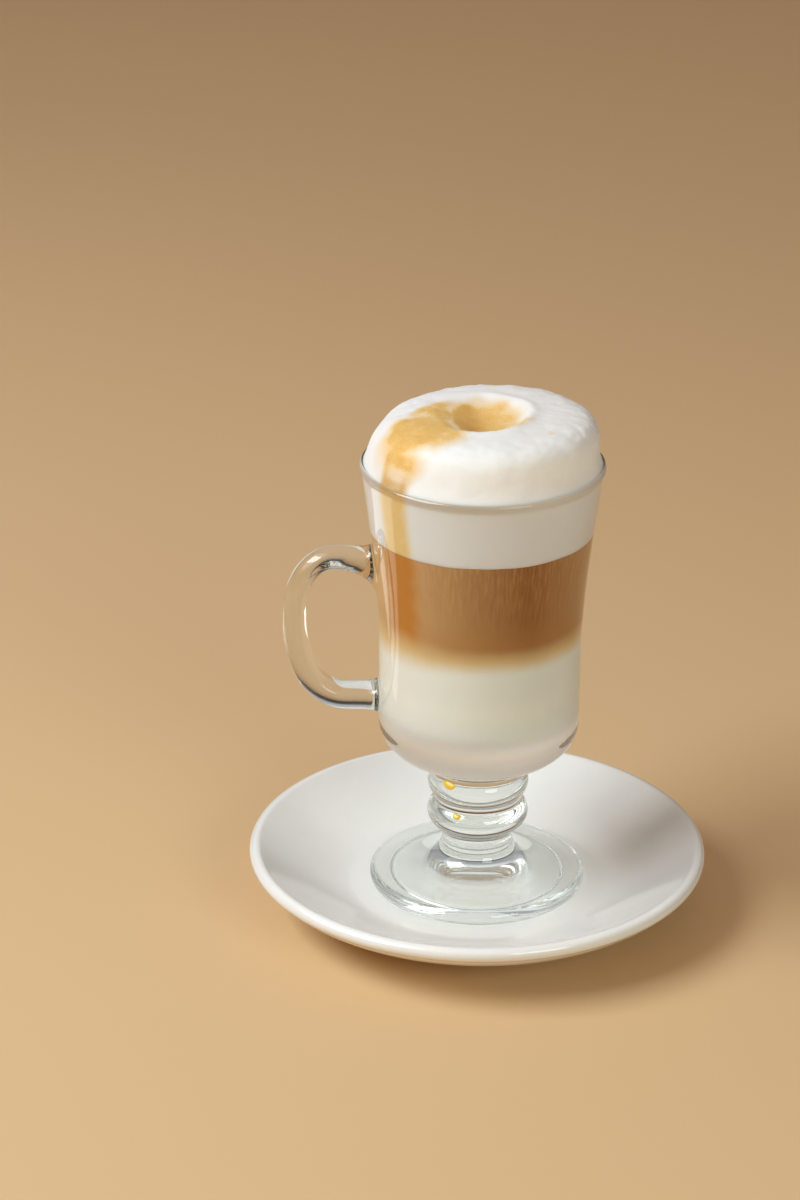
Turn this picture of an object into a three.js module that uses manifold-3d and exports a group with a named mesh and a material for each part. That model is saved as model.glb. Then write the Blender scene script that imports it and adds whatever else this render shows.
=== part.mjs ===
// A layered cappuccino in a footed glass mug that stands on a white saucer.
// Units are millimetres and +Z is up. The origin is the middle of the saucer's underside.
import * as THREE from "three";
import { mergeVertices } from "three/addons/utils/BufferGeometryUtils.js";
import Module from "manifold-3d";

// Facets around every turned piece
const AROUND = 56;

// Saucer
const SAUCER_RADIUS = 74;
const SAUCER_HEIGHT = 21.6;
const SAUCER_LIP = 2.7;
const WELL_RADIUS = 41;
const WELL_TOP = 8;
const SLOPE_POWER = 1.4;
const FOOT_RING = { inside: 38.5, outside: 44, recess: 3, bevel: 1.5 };

// Glass, with heights above the saucer's well
const GLASS_HEIGHT = 146;
const REST_GAP = 0.2;
const LIP = 1.4;
const LIP_PROUD = 0.3;
const RIM_HEIGHT = GLASS_HEIGHT - LIP;
const RIM_RADIUS = 38.4;
const BARREL_RADIUS = 32.1;
const WAIST_HEIGHT = 86;
const FLARE_POWER = 1.5;
const BELT_HEIGHT = 57.7;
const BOWL_CORNER = { across: 18, down: 13.2 };
const WALL = 3;
const INNER_BELT = 65;
const INNER_CORNER = { across: 22, down: 16.5 };
const RING_RADIUS = 16.3;
const UPPER_RING = { height: 36.2, bead: 6 };
const LOWER_RING = { height: 25.2, bead: 5 };
const GROOVE = { radius: 14.3, height: 30.5 };
const COLLAR = { radius: 16.2, height: 42.6 };
const NECK_RADIUS = 11.4;
const NECK_HEIGHT = 16.6;
const GLASS_FOOT = { radius: 34.8, edge: 2.5, contact: 29, hollow: 4 };
const FOOT_SWEEP = { radius: 22, height: 6.2, neck: 8.5 };

// Handle, a D-shaped loop on the -X side of the bowl
const HANDLE_TOP = 113.2;
const HANDLE_BOTTOM = 65.3;
const HANDLE_REACH = 58.9;
const HANDLE_TOP_BEND = { across: 12.5, down: 15.5 };
const HANDLE_BOTTOM_BEND = { across: 14, down: 16.5 };
const HANDLE_THICKNESS = { top: 7, middle: 7.1, bottom: 8.8 };
const HANDLE_WIDTH = { top: 12, bottom: 14 };
const HANDLE_ROOT = 1.9;
const TOP_JOIN = { length: 13, web: 8, spread: 2.6 };
const BOTTOM_JOIN = { length: 6, web: 1.4, spread: 2.6 };
const HANDLE_SIDES = 16;
const HANDLE_STEPS = 36;

// Drink, with heights above the saucer's well
const FILL_GAP = 0.3;
const MILK_TOP = 90;
const COFFEE_TOP = 123.8;
const DOME_HEIGHT = 163.6;
const DOME_POWER = 3.6;
const DOME_LEAN = 1.5;
const DOME_RINGS = 16;
const CRATER = { x: -2, y: -1.5, radius: 16.5, depth: 6, rim: 0.7 };
const CHANNEL = { angle: THREE.MathUtils.degToRad(-151), width: 8, depth: 1.6, start: 9 };

// Base colours
const PORCELAIN = 0xf2f1ee;
const CLEAR_GLASS = 0xe8efec;
const MILK = 0xe9e0d0;
const COFFEE = 0xb5763a;
const FOAM = 0xf6f2ea;

const wasm = await Module();
wasm.setup();

const point = (radius, height) => new THREE.Vector2(radius, height);

// Points of an elliptical arc, with angles in degrees
function arc(radius, height, across, up, from, to, steps) {
  const [start, end] = [from, to].map(THREE.MathUtils.degToRad);
  return new THREE.EllipseCurve(radius, height, across, up, start, end, end < start).getPoints(steps);
}

// The geometry of a profile turned around +Z
function turned(profile) {
  return new THREE.LatheGeometry(profile, AROUND).rotateX(Math.PI / 2);
}

// A closed solid from a geometry, with only its positions kept
function solid(geometry) {
  const bare = geometry.clone();
  bare.deleteAttribute("normal");
  bare.deleteAttribute("uv");
  const merged = mergeVertices(bare, 1e-3);
  const shape = { numProp: 3, vertProperties: merged.attributes.position.array };
  return new wasm.Manifold(new wasm.Mesh({ ...shape, triVerts: new Uint32Array(merged.index.array) }));
}

// The geometry of a closed solid
function geometryOf(shape) {
  const { vertProperties, triVerts } = shape.getMesh();
  const geometry = new THREE.BufferGeometry();
  geometry.setAttribute("position", new THREE.BufferAttribute(new Float32Array(vertProperties), 3));
  geometry.setIndex(new THREE.BufferAttribute(new Uint32Array(triVerts), 1));
  geometry.computeVertexNormals();
  return geometry;
}

// A named piece with its own material
function part(name, geometry, settings) {
  const mesh = new THREE.Mesh(geometry, new THREE.MeshStandardMaterial({ metalness: 0, ...settings }));
  mesh.name = name;
  return mesh;
}

// Saucer: a flat well, a slope that steepens towards the rim, a rolled lip and a foot ring
function saucerGeometry() {
  const lipCentre = point(SAUCER_RADIUS - SAUCER_LIP, SAUCER_HEIGHT - SAUCER_LIP);
  const slopeEnd = point(lipCentre.x - 1.6, SAUCER_HEIGHT - 1.1);
  const slope = [];
  const slopeSteps = 6;
  for (let i = 0; i <= slopeSteps; i++) {
    const share = i / slopeSteps;
    const rise = (slopeEnd.y - WELL_TOP) * share ** SLOPE_POWER;
    slope.push(point(WELL_RADIUS + (slopeEnd.x - WELL_RADIUS) * share, WELL_TOP + rise));
  }
  const { inside, outside, recess, bevel } = FOOT_RING;
  return turned([
    point(0, recess),
    point(inside - bevel, recess),
    point(inside, 0),
    point(outside, 0),
    point(outside + bevel, recess),
    point(outside + bevel + 8, recess + 3),
    ...arc(lipCentre.x, lipCentre.y, SAUCER_LIP, SAUCER_LIP, -62, 105, 6),
    ...slope.reverse(),
    point(0, WELL_TOP),
  ]);
}

// How far a height lies between the waist, 0, and the rim, 1
function flareShare(height) {
  return THREE.MathUtils.clamp((height - WAIST_HEIGHT) / (RIM_HEIGHT - WAIST_HEIGHT), 0, 1);
}

// Outer radius of the bowl above its belt
function bowlRadius(height) {
  return BARREL_RADIUS + (RIM_RADIUS - LIP_PROUD - BARREL_RADIUS) * flareShare(height) ** FLARE_POWER;
}

// Side of the bowl's inside between two heights above its belt, drawn in by a gap
function innerSide(low, high, gap, steps) {
  const side = [];
  for (let i = 0; i <= steps; i++) {
    const height = THREE.MathUtils.lerp(low, high, i / steps);
    const wall = THREE.MathUtils.lerp(WALL, 2 * LIP - LIP_PROUD, flareShare(height));
    side.push(point(bowlRadius(height) - wall - gap, height));
  }
  return side;
}

// Bottom of the bowl's inside, from its middle to its belt, drawn in by a gap
function innerBottom(gap) {
  const { across, down } = INNER_CORNER;
  const centre = BARREL_RADIUS - WALL - across;
  const corner = arc(centre, INNER_BELT, across - gap, down - gap, -90, 0, 5);
  return [point(0, corner[0].y), ...corner];
}

// Glass body: hollow foot, flared stem with two rings, round bowl, flared rim
function glassProfile() {
  const { radius, edge, contact, hollow } = GLASS_FOOT;
  const edgeCentre = point(radius - edge, edge);
  const edgeEnd = arc(edgeCentre.x, edgeCentre.y, edge, edge, -90, 70, 4);
  const footTop = new THREE.CubicBezierCurve(
    edgeEnd[edgeEnd.length - 1],
    point(FOOT_SWEEP.radius, FOOT_SWEEP.height),
    point(NECK_RADIUS, FOOT_SWEEP.neck),
    point(NECK_RADIUS, NECK_HEIGHT),
  );
  const hollowTop = new THREE.QuadraticBezierCurve(
    point(0, hollow),
    point(contact / 2, hollow),
    point(contact, 0),
  );
  const ring = ({ height, bead }, from, to) => arc(RING_RADIUS - bead, height, bead, bead, from, to, 4);
  const bowlCentre = BARREL_RADIUS - BOWL_CORNER.across;
  const flare = [];
  const flareSteps = 5;
  for (let i = 0; i <= flareSteps; i++) {
    const height = THREE.MathUtils.lerp(WAIST_HEIGHT, RIM_HEIGHT - LIP, i / flareSteps);
    flare.push(point(bowlRadius(height), height));
  }
  return [
    ...hollowTop.getPoints(3),
    ...edgeEnd,
    ...footTop.getPoints(6).slice(1),
    ...ring(LOWER_RING, -60, 51),
    point(GROOVE.radius, GROOVE.height),
    ...ring(UPPER_RING, -46, 30),
    point(COLLAR.radius, COLLAR.height),
    ...arc(bowlCentre, BELT_HEIGHT, BOWL_CORNER.across, BOWL_CORNER.down, -72, 0, 6),
    ...flare,
    ...arc(RIM_RADIUS - LIP, RIM_HEIGHT, LIP, LIP, -30, 155, 4),
    ...innerSide(WAIST_HEIGHT, RIM_HEIGHT, 0, 4).reverse(),
    ...innerBottom(0).reverse(),
  ];
}

// Middle line of the handle in the XZ plane, from its upper join to its lower join
function handlePath() {
  const upperRoot = bowlRadius(HANDLE_TOP) - HANDLE_ROOT;
  const lowerRoot = bowlRadius(HANDLE_BOTTOM) - HANDLE_ROOT;
  const [top, bottom] = [HANDLE_TOP_BEND, HANDLE_BOTTOM_BEND];
  const topCentre = point(top.across - HANDLE_REACH, HANDLE_TOP - top.down);
  const bottomCentre = point(bottom.across - HANDLE_REACH, HANDLE_BOTTOM + bottom.down);
  const path = new THREE.Path();
  path.moveTo(-upperRoot, HANDLE_TOP);
  path.lineTo(topCentre.x, HANDLE_TOP);
  path.absellipse(topCentre.x, topCentre.y, top.across, top.down, Math.PI / 2, Math.PI);
  path.absellipse(bottomCentre.x, bottomCentre.y, bottom.across, bottom.down, Math.PI, 1.5 * Math.PI);
  path.lineTo(-lowerRoot, HANDLE_BOTTOM);
  return path;
}

// Growth of the handle where it flows into the bowl: 1 at the wall, 0 beyond the join's length
function joinShare(distance, join) {
  return Math.max(0, 1 - Math.max(0, distance - HANDLE_ROOT) / join.length) ** 2.2;
}

// Handle: an oval bar along its path. A web fills the corner under the upper join.
function handleGeometry() {
  const path = handlePath();
  const length = path.getLength();
  const handle = new THREE.CylinderGeometry(1, 1, 1, HANDLE_SIDES, HANDLE_STEPS);
  const position = handle.attributes.position;
  for (let i = 0; i < position.count; i++) {
    const share = 0.5 - position.getY(i);
    const middle = path.getPointAt(share);
    const along = path.getTangentAt(share);
    const outward = point(along.y, -along.x);
    const upper = joinShare(share * length, TOP_JOIN);
    const lower = joinShare((1 - share) * length, BOTTOM_JOIN);
    const end = share < 0.5 ? HANDLE_THICKNESS.top : HANDLE_THICKNESS.bottom;
    const toEnd = Math.abs(2 * share - 1);
    const thickness = THREE.MathUtils.lerp(HANDLE_THICKNESS.middle, end, toEnd);
    const web = upper * TOP_JOIN.web;
    const half = thickness / 2 + web / 2 + lower * BOTTOM_JOIN.web;
    const bar = THREE.MathUtils.lerp(HANDLE_WIDTH.top, HANDLE_WIDTH.bottom, share);
    const width = bar / 2 + upper * TOP_JOIN.spread + lower * BOTTOM_JOIN.spread;
    const out = half * position.getX(i) + web / 2;
    position.setXYZ(i, middle.x - outward.x * out, -width * position.getZ(i), middle.y - outward.y * out);
  }
  return handle;
}

// Milk at the bottom of the bowl
function milkGeometry() {
  const high = MILK_TOP - FILL_GAP / 2;
  const side = innerSide(WAIST_HEIGHT, high, FILL_GAP, 1);
  return turned([...innerBottom(FILL_GAP), ...side, point(0, high)]);
}

// Coffee layer between milk and foam
function coffeeGeometry() {
  const [low, high] = [MILK_TOP + FILL_GAP / 2, COFFEE_TOP - FILL_GAP / 2];
  return turned([point(0, low), ...innerSide(low, high, FILL_GAP, 4), point(0, high)]);
}

// How far the foam's top is pressed in at a place: a round crater with a channel that leads to the rim
function foamDip(x, y) {
  const crater = Math.hypot(x - CRATER.x, y - CRATER.y) / CRATER.radius;
  const bowl = CRATER.depth * (1 - THREE.MathUtils.smoothstep(crater, 0.25, 1));
  const lip = CRATER.rim * Math.exp(-(((crater - 1.08) / 0.16) ** 2));
  const along = x * Math.cos(CHANNEL.angle) + y * Math.sin(CHANNEL.angle);
  const aside = -x * Math.sin(CHANNEL.angle) + y * Math.cos(CHANNEL.angle);
  const reach = THREE.MathUtils.smoothstep(along, CHANNEL.start, CHANNEL.start + 6);
  return bowl - lip + CHANNEL.depth * reach * Math.exp(-((aside / CHANNEL.width) ** 2));
}

// Foam: fills the top of the glass and stands above its rim as a leaning dome
function foamGeometry() {
  const low = COFFEE_TOP + FILL_GAP / 2;
  const side = innerSide(low, RIM_HEIGHT, FILL_GAP, 3);
  const base = side[side.length - 1].x;
  const rise = DOME_HEIGHT - RIM_HEIGHT;
  const dome = [];
  for (let i = DOME_RINGS - 1; i >= 0; i--) {
    const share = Math.sin((Math.PI / 2) * (i / DOME_RINGS)) ** 0.8;
    const height = rise * (1 - share ** DOME_POWER) ** (1 / DOME_POWER);
    dome.push(point(base * share, RIM_HEIGHT + height));
  }
  const foam = turned([point(0, low), ...side, ...dome]);
  const position = foam.attributes.position;
  for (let i = 0; i < position.count; i++) {
    const [x, y, z] = [position.getX(i), position.getY(i), position.getZ(i)];
    const above = THREE.MathUtils.clamp((z - RIM_HEIGHT) / rise, 0, 1);
    const settled = THREE.MathUtils.smoothstep(above, 0.05, 0.6);
    position.setXYZ(i, x + DOME_LEAN * settled, y, z - foamDip(x, y) * settled);
  }
  return foam;
}

const saucer = part("saucer", saucerGeometry(), { color: PORCELAIN, roughness: 0.15 });

const glassSolid = solid(turned(glassProfile())).add(solid(handleGeometry()));
const glassLook = { color: CLEAR_GLASS, roughness: 0.03, transparent: true, opacity: 0.35 };
const glass = part("glass_mug", geometryOf(glassSolid), glassLook);

const served = new THREE.Group();
served.position.z = WELL_TOP + REST_GAP;
served.add(
  glass,
  part("milk", milkGeometry(), { color: MILK, roughness: 0.4 }),
  part("coffee", coffeeGeometry(), { color: COFFEE, roughness: 0.35 }),
  part("foam", foamGeometry(), { color: FOAM, roughness: 0.7 }),
);

const cappuccino = new THREE.Group();
cappuccino.add(saucer, served);

export default cappuccino;
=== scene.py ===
"""A layered cappuccino in a footed glass mug on its saucer, built as meshes with procedural finishes."""

from math import atan2, cos, exp, hypot, pi, radians, sin, sqrt, tau
from typing import NamedTuple

import bmesh
import bpy
from bpy.props import FloatProperty, FloatVectorProperty, PointerProperty
from mathutils import Matrix, Vector, noise
from mathutils.geometry import interpolate_bezier


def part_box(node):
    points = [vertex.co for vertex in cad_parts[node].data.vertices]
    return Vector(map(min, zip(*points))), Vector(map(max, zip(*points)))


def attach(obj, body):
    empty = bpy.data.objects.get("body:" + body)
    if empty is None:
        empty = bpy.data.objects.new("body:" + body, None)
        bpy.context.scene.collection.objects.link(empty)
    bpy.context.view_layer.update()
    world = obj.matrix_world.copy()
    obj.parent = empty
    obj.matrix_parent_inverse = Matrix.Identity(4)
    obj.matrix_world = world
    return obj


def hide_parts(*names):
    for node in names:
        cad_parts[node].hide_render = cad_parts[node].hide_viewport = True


bl_info = {
    "name": "Glass of Cappuccino",
    "version": (1, 0, 0),
    "blender": (4, 5, 0),
    "location": "View3D > Sidebar > Cappuccino",
    "description": "Builds a layered cappuccino in a footed glass mug on a saucer",
    "category": "Add Mesh",
}

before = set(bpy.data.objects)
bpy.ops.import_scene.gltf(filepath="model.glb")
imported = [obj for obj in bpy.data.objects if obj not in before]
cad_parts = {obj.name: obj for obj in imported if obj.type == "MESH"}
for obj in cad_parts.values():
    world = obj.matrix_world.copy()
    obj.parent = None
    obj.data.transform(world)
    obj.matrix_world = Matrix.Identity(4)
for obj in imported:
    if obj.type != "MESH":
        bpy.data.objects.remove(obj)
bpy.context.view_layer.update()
SAUCER_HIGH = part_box("saucer")[1]
GLASS_LOW, GLASS_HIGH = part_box("glass_mug")
MILK_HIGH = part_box("milk")[1]
COFFEE_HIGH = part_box("coffee")[1]
FOAM_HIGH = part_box("foam")[1]

MM = 0.001
BODY = "root"
PICTURE_HEIGHT = 1200
FOCAL_PIXELS = 3500
SHARP_EDGE = radians(50)

# Steps round the turned pieces
AROUND = 192
SAUCER_AROUND = 256
FOAM_AROUND = 320
FLOOR_AROUND = 96

# Half of the gap between the solids of two layers
HALF_GAP = 0.15 * MM


# Properties

def distance(name, description, default):
    """A length property, in metres."""
    return FloatProperty(name=name, description=description, default=default, precision=5,
                         subtype="DISTANCE", unit="LENGTH")


def mm(name, description, millimetres):
    """A length property, given in millimetres."""
    return distance(name, description, millimetres * MM)


def angle(name, description, degrees):
    """An angle property, given in degrees."""
    return FloatProperty(name=name, description=description, default=radians(degrees),
                         subtype="ANGLE", unit="ROTATION")


def share(name, description, default):
    """A plain number without a unit."""
    return FloatProperty(name=name, description=description, default=default, precision=4)


def colour(name, description, *default):
    """A linear colour property."""
    return FloatVectorProperty(name=name, description=description, default=default, size=3,
                               min=0, max=1, subtype="COLOR")


class SaucerSizes(bpy.types.PropertyGroup):
    """Sizes of the saucer."""

    radius: distance("Radius", "Outside of the rolled lip", SAUCER_HIGH.x)
    height: distance("Height", "Top of the rolled lip", SAUCER_HIGH.z)
    lip: mm("Lip", "Radius of the rolled lip", 2.3)
    well_radius: mm("Well radius", "Flat round well that the glass stands in", 41)
    well_top: mm("Well top", "Upper face of the well", 8)
    slope_power: share("Slope power", "How late the slope steepens towards the lip", 1.4)
    foot_inside: mm("Foot inside", "Inner radius of the foot ring", 38.5)
    foot_outside: mm("Foot outside", "Outer radius of the foot ring", 44)
    foot_recess: mm("Foot recess", "Height of the underside inside the foot ring", 3)


class GlassSizes(bpy.types.PropertyGroup):
    """Sizes of the glass mug. Heights count from the bottom of its foot."""

    base: distance("Base", "Height of the foot's bottom above the table", GLASS_LOW.z)
    rim_height: mm("Rim height", "Middle of the rounded lip", 144.6)
    rim_radius: distance("Rim radius", "Outside of the lip", GLASS_HIGH.x)
    lip: mm("Lip", "Radius of the rounded lip", 1.33)
    lip_proud: mm("Lip proud", "How far the lip stands out from the wall", 0.3)
    barrel_radius: mm("Barrel radius", "Outside of the straight part of the bowl", 32.1)
    waist_height: mm("Waist height", "Where the bowl starts to flare", 86)
    flare_power: share("Flare power", "How late the bowl flares", 1.5)
    belt_height: mm("Belt height", "Where the bowl's round bottom starts", 57.7)
    corner_across: mm("Corner across", "Width of the bowl's round bottom corner", 18)
    corner_down: mm("Corner down", "Height of the bowl's round bottom corner", 13.2)
    wall: mm("Wall", "Thickness of the wall in the barrel", 3)
    rim_wall: mm("Rim wall", "Thickness of the wall at the rim", 2.5)
    inner_belt: mm("Inner belt", "Where the inner round bottom starts", 65.4)
    inner_across: mm("Inner across", "Width of the inner bottom corner", 20.6)
    inner_down: mm("Inner down", "Height of the inner bottom corner", 14.9)
    ring_radius: mm("Ring radius", "Outside of the two rings on the stem", 16.3)
    upper_ring: mm("Upper ring", "Height of the upper ring", 36.2)
    upper_bead: mm("Upper bead", "Radius of the upper ring's round edge", 6)
    lower_ring: mm("Lower ring", "Height of the lower ring", 25.2)
    lower_bead: mm("Lower bead", "Radius of the lower ring's round edge", 5)
    neck_radius: mm("Neck radius", "Thinnest part of the stem", 11.4)
    neck_height: mm("Neck height", "Height of the thinnest part of the stem", 16.6)
    foot_radius: mm("Foot radius", "Outside of the foot", 34.8)
    foot_edge: mm("Foot edge", "Radius of the foot's round edge", 2.5)
    foot_contact: mm("Foot contact", "Inner radius of the ring that the foot stands on", 28)
    hollow_step: mm("Hollow step", "Height of the round step inside that ring", 1.4)
    foot_hollow: mm("Foot hollow", "Height of the hollow under the foot", 4)
    sweep_radius: mm("Sweep radius", "Where the foot's top starts to sweep up", 22)
    sweep_height: mm("Sweep height", "Height of the foot's top there", 6.2)
    sweep_neck: mm("Sweep neck", "Where the sweep is upright, below the neck", 8.5)


class HandleSizes(bpy.types.PropertyGroup):
    """Sizes of the handle. Heights count from the bottom of the glass's foot."""

    top: mm("Top", "Middle of the upper bar", 113.2)
    bottom: mm("Bottom", "Middle of the lower bar", 65.3)
    reach: mm("Reach", "Middle of the upright bar from the glass's axis", 58.9)
    top_bend_across: mm("Top bend across", "Width of the upper bend", 12.5)
    top_bend_down: mm("Top bend down", "Height of the upper bend", 18.5)
    bottom_bend_across: mm("Bottom bend across", "Width of the lower bend", 16)
    bottom_bend_up: mm("Bottom bend up", "Height of the lower bend", 25)
    top_thickness: mm("Top thickness", "Thickness of the upper bar", 7)
    bottom_thickness: mm("Bottom thickness", "Thickness of the lower bar", 8.8)
    top_width: mm("Top width", "Width of the upper bar", 9.4)
    bottom_width: mm("Bottom width", "Width of the lower bar", 10.6)
    inner_flat: share("Inner flat", "How much flatter the section is towards the glass", 0.3)
    web: mm("Web", "Height of the web under the upper bar at the wall", 9.2)
    web_length: mm("Web length", "Length of that web along the bar", 15)
    fillet: mm("Fillet", "Radius of the other roundings at the wall", 2.6)


class DrinkSizes(bpy.types.PropertyGroup):
    """Levels and foam of the drink. Heights count from the bottom of the glass's foot."""

    embed: mm("Embed", "How far the drink reaches into the glass wall", 0.22)
    milk_top: distance("Milk top", "Level where milk meets coffee", MILK_HIGH.z - GLASS_LOW.z + HALF_GAP)
    coffee_top: distance("Coffee top", "Level where coffee meets foam",
                         COFFEE_HIGH.z - GLASS_LOW.z + HALF_GAP)
    blend: mm("Blend", "Height over which milk turns into coffee", 10)
    blend_side: mm("Blend at side", "The same height on the handle's side", 15)
    dome_top: distance("Dome top", "Highest level of the foam", FOAM_HIGH.z - GLASS_LOW.z)
    dome_level: distance("Dome level", "Level of the dome's flat top", FOAM_HIGH.z - GLASS_LOW.z - 1.5 * MM)
    dome_radius: mm("Dome radius", "Radius of the foam above the rim", 35.2)
    dome_flare: mm("Dome flare", "How far the foam swells over the glass's lip", 2.0)
    dome_power: share("Dome power", "Squareness of the foam's dome", 4.5)
    dome_right: share("Dome right", "How much squarer the dome is towards +X", 0.9)
    dome_back: share("Dome back", "How much squarer the dome is towards +Y", -0.3)
    dome_front: share("Dome front", "How much squarer the dome is towards -Y", 0.9)
    dome_lean: mm("Dome lean", "How far the dome leans towards +X", 1.2)
    crater_x: mm("Crater X", "Middle of the crater across", -0.6)
    crater_y: mm("Crater Y", "Middle of the crater in depth", -2)
    crater_across: mm("Crater across", "Rim of the crater across", 14.7)
    crater_along: mm("Crater along", "Rim of the crater in depth", 17.4)
    crater_depth: mm("Crater depth", "Depth of the crater", 5.6)
    crater_shoal: share("Crater shoal", "Share of the depth that is missing on the handle's side", 0.55)
    lip_rise: mm("Lip rise", "Height of the lip round the crater's front", 0.7)
    spill_angle: angle("Spill angle", "Where the coffee ran down the foam above the rim", -139.5)
    stream_angle: angle("Stream angle", "Where the coffee runs down inside the glass", -141)
    stream_width: mm("Stream width", "Half the width of the stream inside the glass", 5.6)


class Finishes(bpy.types.PropertyGroup):
    """Colours of the finishes."""

    porcelain: colour("Porcelain", "Glazed white of the saucer", 0.905, 0.905, 0.895)
    pore: colour("Pore", "Tiny pores in the glaze", 0.45, 0.40, 0.33)
    glass: colour("Glass", "Tint of the clear glass", 0.97, 0.98, 0.965)
    glass_shade: colour("Glass shade", "Lamp light that one face lets through", 0.99, 0.995, 0.99)
    glass_depth: colour("Glass depth", "Light that thick glass lets through", 0.80, 0.82, 0.78)
    milk: colour("Milk", "White milk at the bottom", 0.97, 0.915, 0.815)
    # Painted light: paler milk in the round bottom of the bowl, standing in for light bounced up from the
    # saucer
    lit_low_milk: colour("Low milk", "Milk in the round bottom of the bowl", 0.99, 0.965, 0.92)
    coffee: colour("Coffee", "Brown coffee on its darkest side", 0.30, 0.102, 0.017)
    # Painted light: coffee lighter on the handle's side, where the lamp light falls; also the colour of the
    # upright streaks
    lit_side_and_streak_coffee: colour("Light coffee", "Milky coffee on the handle's side", 0.76, 0.46, 0.20)
    coffee_low: colour("Low coffee", "Coffee just above the milk", 0.55, 0.24, 0.055)
    gold: colour("Gold", "Where coffee turns into milk", 0.84, 0.57, 0.27)
    amber: colour("Amber", "Undiluted coffee in the stream", 0.60, 0.215, 0.018)
    foam: colour("Foam", "White milk foam", 0.88, 0.885, 0.89)
    # Painted light: a brighter, warmer copy of the foam for the part behind the glass wall
    warm_lit_foam: colour("Foam inside", "Foam behind the wall of the glass", 0.99, 0.945, 0.905)
    # Painted shade: darker foam just behind the lip of the glass
    shaded_lip_foam: colour("Foam at lip", "Foam behind the lip of the glass", 0.87, 0.835, 0.77)
    pit: colour("Pit", "Burst bubbles in the foam", 0.62, 0.50, 0.34)
    stain: colour("Stain", "Coffee stain on the foam", 0.83, 0.56, 0.21)
    stain_deep: colour("Deep stain", "Coffee stain where it is strongest", 0.74, 0.43, 0.11)
    # The coffee run on the dome's side, darkened near the rim as painted shade
    flank_stain_and_shade: colour("Stain on flank", "Coffee stain on the side of the dome", 0.60, 0.37, 0.12)
    # Painted light: a brighter copy of the stain for the part behind the glass wall
    lit_stain_inside: colour("Stain inside", "Coffee stain behind the wall of the glass", 0.95, 0.64, 0.23)
    # Two amber tones of the small drops on the stem rings
    drip: colour("Drip", "Thin dried coffee on the stem", 0.86, 0.62, 0.07)
    drip_deep: colour("Deep drip", "Thick dried coffee on the stem", 0.80, 0.50, 0.03)
    floor: colour("Floor", "Pale floor", 0.73, 0.51, 0.285)


class StageSizes(bpy.types.PropertyGroup):
    """Place and view of the camera."""

    camera: FloatVectorProperty(name="Camera", description="Place of the camera", size=3,
                                default=(-0.0255, -1.0132, 0.5488), subtype="TRANSLATION", unit="LENGTH")
    pitch: angle("Pitch", "How far the camera looks down", 23.575)
    roll: angle("Roll", "Turn of the camera about its axis", 0.334)
    focal: share("Focal length", "Focal length as a share of the picture's height",
                 FOCAL_PIXELS / PICTURE_HEIGHT)


class CappuccinoSettings(bpy.types.PropertyGroup):
    """All sizes and colours of the cappuccino."""

    saucer: PointerProperty(type=SaucerSizes)
    glass: PointerProperty(type=GlassSizes)
    handle: PointerProperty(type=HandleSizes)
    drink: PointerProperty(type=DrinkSizes)
    finishes: PointerProperty(type=Finishes)
    stage: PointerProperty(type=StageSizes)


# Curves and meshes

def lerp(start, end, amount):
    """Value between two ends."""
    return start + (end - start) * amount


def smoothstep(start, end, value):
    """Soft step from 0 at the start to 1 at the end."""
    amount = min(1.0, max(0.0, (value - start) / (end - start)))
    return amount * amount * (3 - 2 * amount)


def bell(value, width):
    """Soft bump of height 1 about zero."""
    return exp(-(value / width) ** 2)


def direction(degrees, rise):
    """Unit vector by its angle about the axis and its rise above the horizon, in degrees."""
    around, up = radians(degrees), radians(rise)
    return Vector((cos(around) * cos(up), sin(around) * cos(up), sin(up)))


def arc(centre, radii, start, end, steps):
    """Points of an elliptical arc between two angles in degrees."""
    points = []
    for step in range(steps + 1):
        around = radians(lerp(start, end, step / steps))
        points.append((centre[0] + radii[0] * cos(around), centre[1] + radii[1] * sin(around)))
    return points


def sweep(start, start_handle, end_handle, end, steps):
    """Points of a cubic curve, without its two ends."""
    corners = [Vector(corner) for corner in (start, start_handle, end_handle, end)]
    return [tuple(point) for point in interpolate_bezier(*corners, steps + 1)[1:-1]]


def fair(start, start_turn, end, end_turn, pull, steps):
    """A smooth join between two points, leaving and arriving along the given angles in degrees."""
    out = radians(start_turn)
    into = radians(end_turn)
    start_handle = (start[0] + pull * cos(out), start[1] + pull * sin(out))
    end_handle = (end[0] - pull * cos(into), end[1] - pull * sin(into))
    return sweep(start, start_handle, end_handle, end, steps)


def straight(start, end, steps):
    """Points of a straight line, without its two ends."""
    return [(lerp(start[0], end[0], step / steps), lerp(start[1], end[1], step / steps))
            for step in range(1, steps)]


class Shell:
    """Points and faces of a mesh in the making."""

    def __init__(self):
        self.points = []
        self.faces = []

    def loop(self, points):
        """Adds points and returns their numbers."""
        first = len(self.points)
        self.points.extend(points)
        return list(range(first, len(self.points)))

    def join(self, lower, upper, skip=()):
        """Joins two closed loops of equal length by quads, apart from the skipped columns."""
        count = len(lower)
        for column in range(count):
            if column not in skip:
                following = (column + 1) % count
                self.faces.append((lower[column], lower[following], upper[following], upper[column]))

    def cap(self, loop, point):
        """Closes a loop by a fan to one point."""
        centre = self.loop([point])[0]
        for column, corner in enumerate(loop):
            self.faces.append((corner, loop[(column + 1) % len(loop)], centre))

    def build(self, name):
        """Makes the mesh object, with its faces pointing out and smooth."""
        mesh = bpy.data.meshes.new(name)
        mesh.from_pydata(self.points, [], self.faces)
        edit = bmesh.new()
        edit.from_mesh(mesh)
        bmesh.ops.recalc_face_normals(edit, faces=edit.faces)
        edit.to_mesh(mesh)
        edit.free()
        mesh.shade_smooth()
        mesh.set_sharp_from_angle(angle=SHARP_EDGE)
        piece = bpy.data.objects.new(name, mesh)
        bpy.context.scene.collection.objects.link(piece)
        return piece


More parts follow.
